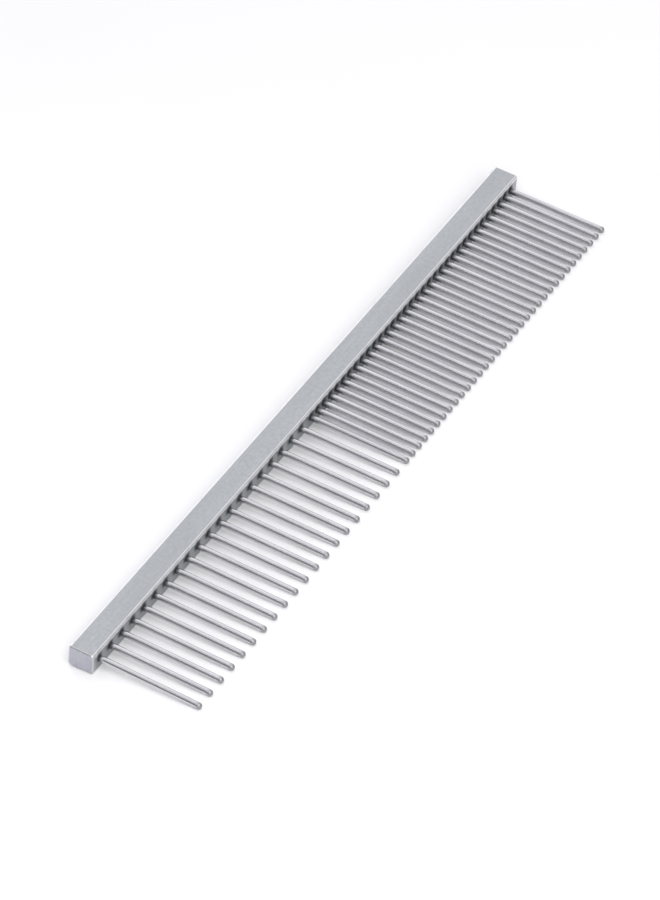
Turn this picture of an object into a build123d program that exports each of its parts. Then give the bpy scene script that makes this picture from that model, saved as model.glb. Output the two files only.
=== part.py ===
from build123d import *
import math
import os

# Steel grooming comb: a solid bar spine with one row of round steel teeth pressed into its front
# face, widely spaced over one half and closely spaced over the other. Sizes are in millimetres.
# +X runs along the spine from the coarse end to the fine end, the teeth point towards -Y, +Z is up.
# The teeth outweigh the spine about its lower front edge, so the comb rests tipped forward, on
# that edge and on the tooth tips. It is modelled in that resting pose, and the origin is on the
# table, under the middle of the comb.

spine_length = 190.5
spine_depth = 6.35
spine_thickness = 5.6
long_edge_radius = 0.7
end_edge_radius = 0.4

coarse_count = 20
coarse_pitch = 4.48
fine_count = 34
fine_pitch = 2.88

tooth_diameter = 1.5
tooth_reach = 25.4
tooth_chamfer = 0.2
seat_depth = 4.6
drill_point_angle = 118.0
cutter_overrun = 1.0

tooth_radius = tooth_diameter / 2


def tooth_places():
    """Each tooth's name and its place along the spine, from the coarse end."""
    row_length = coarse_count * coarse_pitch + (fine_count - 1) * fine_pitch
    places = {}
    x = -row_length / 2
    for number in range(1, coarse_count + 1):
        places[f"coarse_tooth_{number:02d}"] = x
        x += coarse_pitch
    for number in range(1, fine_count + 1):
        places[f"fine_tooth_{number:02d}"] = x
        x += fine_pitch
    return places


def make_tooth():
    """A round pin on the Y axis: chamfered at its seated end, domed at its tip."""
    dome_y = tooth_radius - tooth_reach
    shank = Polyline(
        (0, -tooth_reach),
        (0, seat_depth),
        (tooth_radius - tooth_chamfer, seat_depth),
        (tooth_radius, seat_depth - tooth_chamfer),
        (tooth_radius, dome_y),
    )
    dome = RadiusArc((tooth_radius, dome_y), (0, -tooth_reach), tooth_radius)
    return revolve(make_face(shank + dome), Axis.Y)


def make_seat():
    """The drilled blind hole that a tooth is pressed into, as the solid that it removes."""
    point_length = tooth_radius / math.tan(math.radians(drill_point_angle / 2))
    outline = Polyline(
        (0, -cutter_overrun),
        (tooth_radius, -cutter_overrun),
        (tooth_radius, seat_depth),
        (0, seat_depth + point_length),
        close=True,
    )
    return revolve(make_face(outline), Axis.Y)


def make_spine(places):
    """A bar with its front face on Y = 0, rounded edges, and one seat for each tooth."""
    bar = Pos(0, spine_depth / 2, 0) * Box(spine_length, spine_depth, spine_thickness)
    bar = fillet(bar.edges().filter_by(Axis.X), long_edge_radius)
    ends = bar.faces().filter_by(Axis.X)
    bar = fillet(ends.edges(), end_edge_radius)
    seat = make_seat()
    return bar - [Pos(x, 0, 0) * seat for x in places.values()]


def rest_tilt():
    """Degrees about X that bring the spine's lower front edge and the tooth tips level."""
    reach = long_edge_radius + tooth_reach - tooth_radius
    rise = spine_thickness / 2 - long_edge_radius
    radius_step = tooth_radius - long_edge_radius
    tilt = math.atan2(rise, reach) - math.asin(radius_step / math.hypot(reach, rise))
    return math.degrees(tilt)


def make_comb():
    """Every piece by name, in the comb's resting pose."""
    places = tooth_places()
    tooth = make_tooth()
    flat = {"spine": make_spine(places)}
    for name, x in places.items():
        flat[name] = Pos(x, 0, 0) * tooth
    tipped = {name: Rot(X=rest_tilt()) * piece for name, piece in flat.items()}
    box = Compound(list(tipped.values())).bounding_box()
    on_table = Pos(-box.center().X, -box.center().Y, -box.min.Z)
    return {name: on_table * piece for name, piece in tipped.items()}


os.makedirs("parts", exist_ok=True)
for name, piece in make_comb().items():
    piece.label = name
    export_step(piece, f"parts/{name}.step")
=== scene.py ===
import math

import bpy
from mathutils import Matrix, Vector

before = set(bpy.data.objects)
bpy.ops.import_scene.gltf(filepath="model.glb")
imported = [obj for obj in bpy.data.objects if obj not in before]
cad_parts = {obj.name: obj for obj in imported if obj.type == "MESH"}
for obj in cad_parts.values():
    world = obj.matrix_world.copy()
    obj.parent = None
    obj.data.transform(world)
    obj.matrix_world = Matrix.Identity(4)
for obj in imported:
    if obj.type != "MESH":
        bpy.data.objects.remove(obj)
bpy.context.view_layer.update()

MM = 0.001

# The comb rests tipped forward about X. Its materials work in its own flat frame, in millimetres:
# X along the spine from the middle, Y = 0 on the spine's front face with the teeth at Y < 0,
# and Z = 0 in the plane of the tooth axes.
REST_TILT = math.radians(4.623)
FRONT_FACE_MIDDLE = Vector((0.0, 9.4095, 2.7367))
COARSE_COUNT = 20
COARSE_PITCH = 4.48
FINE_COUNT = 34
FINE_PITCH = 2.88
ROW_LENGTH = COARSE_COUNT * COARSE_PITCH + (FINE_COUNT - 1) * FINE_PITCH
FIRST_FINE = COARSE_COUNT * COARSE_PITCH - ROW_LENGTH / 2
TOOTH_RADIUS = 0.75
TOOTH_REACH = 25.4

# Painted shade on the spine round each tooth's root: how far it reaches from the tooth's axis, how far
# it is shifted along and up the front face, and how strong the painted shade is low on that face.
ROOT_SHADE_RADIUS = 1.95
ROOT_SHADE_DRAG = 0.75
ROOT_SHADE_RISE = 0.9
LOW_FACE_SHADE = 0.14

# How much further, in millimetres, the painted shade at the roots reaches along the closely spaced
# teeth.
FINE_SHADE_REACH = 1.0

# Camera, as angles and a distance from the point on the table that it looks at.
CAMERA_AZIMUTH = math.radians(-59.732)
CAMERA_ELEVATION = math.radians(41.982)
CAMERA_ROLL = math.radians(-0.182)
CAMERA_DISTANCE = 989.9 * MM
CAMERA_AIM = Vector((-7.54, 1.88, 0.0)) * MM
CAMERA_LENS = 175.1

# Light tent: brightest towards TENT_TOP, behind the comb's fine end, and dimmest opposite.
TENT_TOP = Vector((0.55, 0.45, 0.70)).normalized()
TENT_HIGH = 1.35
TENT_LOW = 0.2
TENT_FALLOFF = 4.0
TENT_COLOUR = (0.99, 0.98, 1.02, 1)

# Softbox, high on the camera's side: the way to it, its distance, the length of its side and its power.
KEY_TOWARDS = Vector((-0.45, -0.45, 0.76)).normalized()
KEY_DISTANCE = 1.0
KEY_SIZE = 1.2
KEY_POWER = 9.8

# Half the side of the square floor, in metres.
FLOOR_REACH = 2.0

# Steel of the spine: its sides, from dark to light grain, the cloudy film over them, its hairline
# scratches, its long edges, lighter from burnish and a painted highlight, its ground ends, and the
# painted shade round the teeth.
SIDE_DARK = (0.348, 0.366, 0.374, 1)
SIDE_LIGHT = (0.444, 0.463, 0.468, 1)
SIDE_CLOUD = (0.388, 0.398, 0.414, 1)
SIDE_SCRATCH = (0.80, 0.81, 0.82, 1)
EDGE_BURNISH_AND_HIGHLIGHT = (0.93, 0.935, 0.95, 1)
END_DARK = (0.39, 0.395, 0.44, 1)
END_LIGHT = (0.50, 0.505, 0.56, 1)
ROOT_SHADE_COLOUR = (0.05, 0.052, 0.058, 1)

# Steel of the teeth: the drawn wire, from dark to light grain, the tone of the duller teeth,
# hairline scratches, the tips darkened by a painted dark reflection, and the painted shade next to the
# spine.
WIRE_DARK = (0.57, 0.567, 0.585, 1)
WIRE_LIGHT = (0.69, 0.686, 0.705, 1)
WIRE_DULL = (0.55, 0.546, 0.57, 1)
WIRE_SCRATCH = (0.82, 0.82, 0.83, 1)
TIP_DARK_REFLECTION = (0.30, 0.30, 0.315, 1)
TOOTH_ROOT_SHADE = (0.17, 0.172, 0.182, 1)

PAPER_DARK = (0.90, 0.90, 0.905, 1)
PAPER_LIGHT = (0.94, 0.94, 0.945, 1)


def make_camera():
    """A long lens looking down on the comb from its coarse end."""
    back = Vector((
        math.sin(CAMERA_AZIMUTH) * math.cos(CAMERA_ELEVATION),
        -math.cos(CAMERA_AZIMUTH) * math.cos(CAMERA_ELEVATION),
        math.sin(CAMERA_ELEVATION),
    ))
    data = bpy.data.cameras.new("camera")
    data.lens = CAMERA_LENS
    data.sensor_width = 36.0
    camera = bpy.data.objects.new("camera", data)
    bpy.context.collection.objects.link(camera)
    level = (-back).to_track_quat("-Z", "Y")
    roll = Matrix.Rotation(CAMERA_ROLL, 4, "Z")
    place = Matrix.Translation(CAMERA_AIM + back * CAMERA_DISTANCE)
    camera.matrix_world = place @ level.to_matrix().to_4x4() @ roll
    bpy.context.scene.camera = camera


class Shading:
    """A node tree, and short ways to add nodes to it."""

    def __init__(self, tree):
        self.tree = tree

    def node(self, kind, inputs=None, **settings):
        """Adds a node; each of its inputs is given a constant or another node's output."""
        added = self.tree.nodes.new(kind)
        for name, value in settings.items():
            setattr(added, name, value)
        for name, value in (inputs or {}).items():
            self.feed(added.inputs[name], value)
        return added

    def feed(self, socket, value):
        if isinstance(value, bpy.types.NodeSocket):
            self.tree.links.new(value, socket)
        else:
            socket.default_value = value

    def math(self, operation, *values):
        inputs = dict(enumerate(values))
        return self.node("ShaderNodeMath", inputs, operation=operation).outputs[0]

    def ramp(self, value, low, high, start=0.0, end=1.0):
        """Start below low, end above high, and a smooth step between them."""
        inputs = {"Value": value, "From Min": low, "From Max": high, "To Min": start, "To Max": end}
        step = self.node("ShaderNodeMapRange", inputs, interpolation_type="SMOOTHSTEP")
        return step.outputs["Result"]

    def mix(self, factor, first, second):
        """A colour between two colours."""
        inputs = {0: factor, 6: first, 7: second}
        blend = self.node("ShaderNodeMix", inputs, data_type="RGBA")
        return blend.outputs[2]

    def blend(self, factor, first, second):
        """A number between two numbers."""
        return self.node("ShaderNodeMix", {0: factor, 2: first, 3: second}).outputs[0]

    def stretch(self, vector, scale, turn=(0, 0, 0)):
        inputs = {"Vector": vector, "Rotation": turn, "Scale": scale}
        return self.node("ShaderNodeMapping", inputs).outputs["Vector"]

    def noise(self, vector, scale=1.0, detail=2.0, roughness=0.5):
        inputs = {"Vector": vector, "Scale": scale, "Detail": detail, "Roughness": roughness}
        return self.node("ShaderNodeTexNoise", inputs).outputs["Fac"]

    def comb_point(self):
        """The shaded point in the comb's flat frame, in millimetres."""
        place = -(Matrix.Rotation(-REST_TILT, 3, "X") @ FRONT_FACE_MIDDLE)
        inputs = {
            "Vector": self.node("ShaderNodeTexCoord").outputs["Object"],
            "Location": place,
            "Rotation": (-REST_TILT, 0, 0),
            "Scale": (1 / MM, 1 / MM, 1 / MM),
        }
        return self.node("ShaderNodeMapping", inputs).outputs["Vector"]

    def comb_normal(self):
        """The surface's direction in the comb's flat frame, as absolute values."""
        inputs = {
            "Vector": self.node("ShaderNodeTexCoord").outputs["Normal"],
            "Angle": -REST_TILT,
        }
        turned = self.node("ShaderNodeVectorRotate", inputs, rotation_type="X_AXIS")
        size = {0: turned.outputs["Vector"]}
        absolute = self.node("ShaderNodeVectorMath", size, operation="ABSOLUTE")
        return self.split(absolute.outputs[0])

    def split(self, vector):
        """A vector's X, Y and Z."""
        parts = self.node("ShaderNodeSeparateXYZ", {0: vector})
        return parts.outputs["X"], parts.outputs["Y"], parts.outputs["Z"]

    def scratches(self, point, scale, turn, width):
        """Sparse hairlines: thin level lines of a stretched noise, shown only in patches."""
        lines = self.noise(self.stretch(point, scale, turn), detail=1.0)
        distance = self.math("ABSOLUTE", self.math("SUBTRACT", lines, 0.5))
        hairline = self.ramp(distance, 0.0, width, 1.0, 0.0)
        patches = self.ramp(self.noise(point, 0.11, 1.0), 0.52, 0.60)
        return self.math("MULTIPLY", hairline, patches)


def new_material(name):
    """A material, ways to add its nodes, and its Principled shader."""
    material = bpy.data.materials.new(name)
    material.use_nodes = True
    return material, Shading(material.node_tree), material.node_tree.nodes["Principled BSDF"]


def painted_root_shade(shading, point):
    """Painted shade round each tooth's root on the front face, shifted towards the coarse end, and
    painted shade low on that face.
    """
    x, y, z = shading.split(point)
    from_first = shading.math("ADD", x, ROW_LENGTH / 2)
    from_fine = shading.math("SUBTRACT", from_first, COARSE_COUNT * COARSE_PITCH)
    coarse_x = shading.math("WRAP", from_first, COARSE_PITCH / 2, -COARSE_PITCH / 2)
    fine_x = shading.math("WRAP", from_fine, FINE_PITCH / 2, -FINE_PITCH / 2)
    is_fine = shading.math("GREATER_THAN", from_fine, -COARSE_PITCH / 2)
    tooth_x = shading.blend(is_fine, coarse_x, fine_x)
    # Painted shade round each tooth's root, shifted towards the coarse end and up the face.
    off_x = shading.math("ADD", tooth_x, ROOT_SHADE_DRAG)
    off_z = shading.math("SUBTRACT", z, ROOT_SHADE_RISE)
    across = shading.node("ShaderNodeCombineXYZ", {"X": off_x, "Y": off_z}).outputs[0]
    distance = shading.node("ShaderNodeVectorMath", {0: across}, operation="LENGTH").outputs["Value"]
    ragged = shading.math("MULTIPLY", shading.math("SUBTRACT", shading.noise(point, 2.2), 0.5), 0.6)
    uneven = shading.math("ADD", distance, ragged)
    ring = shading.ramp(uneven, TOOTH_RADIUS / 2, ROOT_SHADE_RADIUS, 1.0, 0.0)
    on_front = shading.math("LESS_THAN", y, 0.4)
    row_end = ROW_LENGTH / 2 + 0.9
    in_row = shading.ramp(shading.math("ABSOLUTE", x), row_end, row_end + 1.0, 1.0, 0.0)
    # Painted shade: darker towards the bottom of the front face.
    low_shade = shading.ramp(z, -2.4, 2.6, LOW_FACE_SHADE, 0.0)
    amount = shading.math("MAXIMUM", ring, low_shade)
    return shading.math("MULTIPLY", amount, shading.math("MULTIPLY", on_front, in_row))


def make_spine_steel():
    """Satin steel, brushed lengthwise, ground across its ends, with burnish and a painted highlight
    along its rounded edges and painted shade round the teeth.
    """
    material, shading, shader = new_material("spine_satin_steel")
    point = shading.comb_point()
    normal_x, normal_y, normal_z = shading.comb_normal()
    flatness = shading.math("MAXIMUM", normal_x, shading.math("MAXIMUM", normal_y, normal_z))
    worn = shading.noise(point, 0.35, 2.0)
    # Painted highlight, with some burnish, on the rounded edges; weaker on the end edges.
    rounded = shading.ramp(flatness, 0.95, 0.999, 1.0, 0.0)
    handled = shading.math("MULTIPLY", shading.ramp(worn, 0.25, 0.5, 0.7, 1.0),
                           shading.ramp(normal_x, 0.1, 0.4, 1.0, 0.25))
    edge = shading.math("MULTIPLY", rounded, handled)
    is_end = shading.ramp(normal_x, 0.6, 0.9)

    brushed = shading.noise(shading.stretch(point, (0.05, 7.0, 7.0)), detail=3.0, roughness=0.6)
    ground = shading.noise(shading.stretch(point, (5.0, 5.0, 0.3)), detail=3.0, roughness=0.6)
    grain = shading.blend(is_end, brushed, ground)
    mottle = shading.noise(point, 1.1, 3.0, 0.6)
    cloud = shading.noise(shading.stretch(point, (0.035, 0.12, 0.12)), detail=2.0)
    scratch = shading.scratches(point, (0.06, 0.9, 0.9), (0, 0, 0.14), 0.0035)
    seat_shade = painted_root_shade(shading, point)

    tone = shading.math("ADD", shading.math("MULTIPLY", grain, 0.45),
                        shading.math("MULTIPLY", mottle, 0.55))
    clean = shading.mix(shading.ramp(tone, 0.3, 0.7), SIDE_DARK, SIDE_LIGHT)
    sawn = shading.mix(shading.ramp(tone, 0.3, 0.7), END_DARK, END_LIGHT)
    clean = shading.mix(is_end, clean, sawn)
    clouded = shading.mix(shading.ramp(cloud, 0.35, 0.65, 0.0, 0.35), clean, SIDE_CLOUD)
    marked = shading.mix(shading.math("MULTIPLY", scratch, 0.35), clouded, SIDE_SCRATCH)
    # Painted highlight on the rounded edges, partly burnish.
    bright = shading.mix(edge, marked, EDGE_BURNISH_AND_HIGHLIGHT)
    # Painted shade round the tooth roots on the front face.
    colour = shading.mix(seat_shade, bright, ROOT_SHADE_COLOUR)
    shading.feed(shader.inputs["Base Color"], colour)

    satin = shading.math("ADD", 0.24, shading.math("MULTIPLY", grain, 0.16))
    smudged = shading.math("ADD", satin, shading.ramp(cloud, 0.4, 0.7, 0.0, 0.07))
    burnished = shading.blend(edge, smudged, 0.32)
    shading.feed(shader.inputs["Roughness"], shading.blend(seat_shade, burnished, 0.7))

    relief = shading.math("SUBTRACT", grain, shading.math("MULTIPLY", scratch, 0.6))
    relief = shading.math("ADD", relief, shading.math("MULTIPLY", mottle, 0.5))
    bump = shading.node("ShaderNodeBump", {"Strength": 0.35, "Distance": 0.006 * MM, "Height": relief})
    shading.feed(shader.inputs["Normal"], bump.outputs["Normal"])
    shader.inputs["Metallic"].default_value = 1.0
    return material


def make_tooth_steel():
    """Drawn wire, polished lengthwise, with rougher tips darkened by a painted dark reflection, and
    painted shade next to the spine.
    """
    material, shading, shader = new_material("tooth_polished_steel")
    point = shading.comb_point()
    x, y, z = shading.split(point)
    drawn = shading.noise(shading.stretch(point, (9.0, 0.07, 9.0)), detail=3.0, roughness=0.6)
    handled = shading.noise(shading.stretch(point, (0.5, 0.12, 0.5)), detail=2.0)
    each_tooth = shading.noise(shading.stretch(point, (0.9, 0.0, 0.0)), detail=0.0)
    scratch = shading.scratches(point, (2.5, 0.25, 2.5), (0.1, 0.0, 0.2), 0.006)
    ragged = shading.math("MULTIPLY", shading.math("SUBTRACT", shading.noise(point, 2.5), 0.5), 0.8)
    # Painted shade on each tooth next to the spine, reaching further on its underside and along the
    # fine teeth.
    lower = shading.math("MULTIPLY", z, -1.4)
    is_fine = shading.math("GREATER_THAN", x, FIRST_FINE - COARSE_PITCH / 2)
    reach = shading.math("ADD", lower, shading.math("MULTIPLY", is_fine, FINE_SHADE_REACH))
    shaded_to = shading.math("ADD", y, shading.math("ADD", ragged, reach))
    tooth_shade = shading.ramp(shaded_to, -1.4, 0.2)
    # Tips darkened with a painted dark reflection; they are also rougher.
    tip = shading.ramp(y, 0.4 - TOOTH_REACH, 1.6 - TOOTH_REACH, 1.0, 0.0)

    tone = shading.math("ADD", shading.math("MULTIPLY", drawn, 0.5),
                        shading.math("MULTIPLY", handled, 0.5))
    wire = shading.mix(shading.ramp(tone, 0.3, 0.7), WIRE_DARK, WIRE_LIGHT)
    toned = shading.mix(shading.ramp(each_tooth, 0.3, 0.7, 0.0, 0.3), wire, WIRE_DULL)
    marked = shading.mix(shading.math("MULTIPLY", scratch, 0.3), toned, WIRE_SCRATCH)
    # Painted dark reflection on the tips.
    dark_tipped = shading.mix(shading.math("MULTIPLY", tip, 0.8), marked, TIP_DARK_REFLECTION)
    # Painted shade next to the spine.
    colour = shading.mix(tooth_shade, dark_tipped, TOOTH_ROOT_SHADE)
    shading.feed(shader.inputs["Base Color"], colour)

    polish = shading.math("ADD", 0.14, shading.math("MULTIPLY", tone, 0.14))
    polish = shading.blend(tip, polish, 0.48)
    shading.feed(shader.inputs["Roughness"], shading.blend(tooth_shade, polish, 0.55))

    relief = shading.math("SUBTRACT", drawn, shading.math("MULTIPLY", scratch, 0.5))
    bump = shading.node("ShaderNodeBump", {"Strength": 0.25, "Distance": 0.004 * MM, "Height": relief})
    shading.feed(shader.inputs["Normal"], bump.outputs["Normal"])
    shader.inputs["Metallic"].default_value = 1.0
    return material


def make_paper():
    """Smooth white paper with a faint fibre."""
    material, shading, shader = new_material("floor_paper")
    point = shading.node("ShaderNodeTexCoord").outputs["Object"]
    fibre = shading.noise(point, 1800.0, 3.0, 0.6)
    cloud = shading.noise(point, 25.0, 2.0)
    tone = shading.math("ADD", shading.math("MULTIPLY", fibre, 0.5),
                        shading.math("MULTIPLY", cloud, 0.5))
    shading.feed(shader.inputs["Base Color"], shading.mix(tone, PAPER_DARK, PAPER_LIGHT))
    bump = shading.node("ShaderNodeBump", {"Strength": 0.1, "Distance": 0.02 * MM, "Height": fibre})
    shading.feed(shader.inputs["Normal"], bump.outputs["Normal"])
    shader.inputs["Roughness"].default_value = 0.9
    shader.inputs["Specular IOR Level"].default_value = 0.0
    return material


def dress(node_name, material):
    """Gives a CAD node its material."""
    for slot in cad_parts[node_name].material_slots:
        slot.material = material


def make_floor():
    """A plain square floor under the comb."""
    mesh = bpy.data.meshes.new("floor")
    corners = [(x * FLOOR_REACH, y * FLOOR_REACH, 0) for x, y in ((-1, -1), (1, -1), (1, 1), (-1, 1))]
    mesh.from_pydata(corners, [], [(0, 1, 2, 3)])
    floor = bpy.data.objects.new("floor", mesh)
    bpy.context.collection.objects.link(floor)
    mesh.materials.append(make_paper())


def make_tent():
    """A white tent of light all round the comb."""
    world = bpy.data.worlds.new("light_tent")
    world.use_nodes = True
    shading = Shading(world.node_tree)
    direction = shading.node("ShaderNodeTexCoord").outputs["Generated"]
    towards = shading.node("ShaderNodeVectorMath", {0: direction, 1: TENT_TOP}, operation="DOT_PRODUCT")
    height = shading.math("MULTIPLY_ADD", towards.outputs["Value"], 0.5, 0.5)
    glow = shading.math("POWER", height, TENT_FALLOFF)
    background = world.node_tree.nodes["Background"]
    background.inputs["Color"].default_value = TENT_COLOUR
    shading.feed(background.inputs["Strength"], shading.blend(glow, TENT_LOW, TENT_HIGH))
    bpy.context.scene.world = world


def make_key():
    """A square softbox, facing the comb."""
    data = bpy.data.lights.new("key_softbox", "AREA")
    data.shape = "SQUARE"
    data.size = KEY_SIZE
    data.energy = KEY_POWER
    light = bpy.data.objects.new("key_softbox", data)
    bpy.context.collection.objects.link(light)
    turn = (-KEY_TOWARDS).to_track_quat("-Z", "Y").to_matrix().to_4x4()
    light.matrix_world = Matrix.Translation(KEY_TOWARDS * KEY_DISTANCE) @ turn


make_camera()
make_tent()
make_key()
make_floor()
bpy.context.scene.view_settings.view_transform = "Standard"

spine_steel = make_spine_steel()
tooth_steel = make_tooth_steel()
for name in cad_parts:
    dress(name, spine_steel if name == "spine" else tooth_steel)
